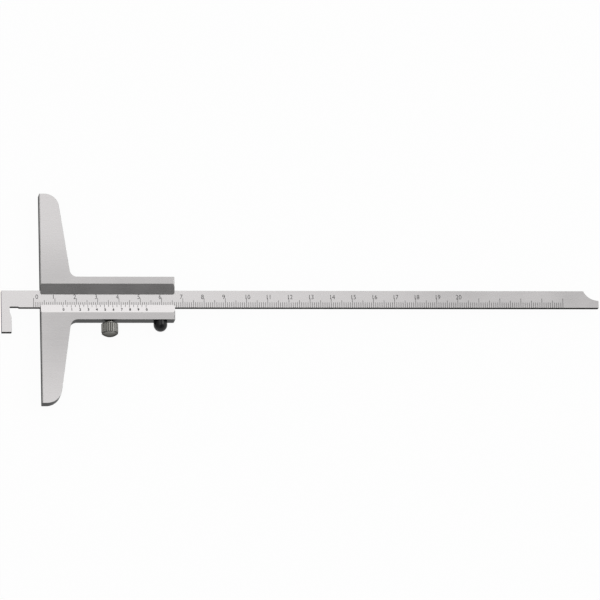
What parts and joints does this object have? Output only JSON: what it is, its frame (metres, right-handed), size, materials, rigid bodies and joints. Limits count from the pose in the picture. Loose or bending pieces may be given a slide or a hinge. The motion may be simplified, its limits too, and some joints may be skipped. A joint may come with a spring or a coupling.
{
  "type": "vernier depth gauge",
  "caption": "Hook-type vernier depth gauge: a graduated sliding beam with a hook and a narrow tip, in a flat bridge with a vernier slider and clamp screw.",
  "frame": {"origin": "on the measuring face, on the beam's centre line, at the back face of the slider", "axes": "+X along the beam towards its narrow tip, +Y along the bridge away from the hook's tip, +Z out of the graduated face"},
  "size_m": [0.2822, 0.1, 0.008],
  "materials": {
    "satin_chrome_body": "satin",
    "satin_chrome_beam": "satin",
    "brass": "satin",
    "spring_steel": "satin",
    "knurled_steel": "turned",
    "black_knob": "gloss",
    "turned_steel": "turned"
  },
  "bodies": {
    "slider": {"bridge_slider": "satin_chrome_body", "gib_strip": "brass", "leaf_spring": "spring_steel", "thumb_knob": "black_knob", "knob_stud": "turned_steel"},
    "beam": {"beam": "satin_chrome_beam"},
    "pad": {"clamp_pad": "brass"},
    "screw": {"clamp_screw": "knurled_steel"}
  },
  "joints": [
    {"name": "beam_slide", "type": "slide", "parent": "slider", "child": "beam", "axis": [-1, 0, 0], "range_m": [-0.0135, 0.1864]},
    {"name": "pad_travel", "type": "slide", "parent": "slider", "child": "pad", "axis": [0, 1, 0], "range_m": [-0.001, 0.0001]},
    {"name": "screw_turn", "type": "hinge", "parent": "pad", "child": "screw", "pos_m": [0.0324, -0.0105, 0.004], "axis": [0, 1, 0], "range_deg": [-720, 72]}
  ],
  "couplings": [
    {"joint": "screw_turn", "follows": "pad_travel", "rad_per_m": 12566}
  ]
}
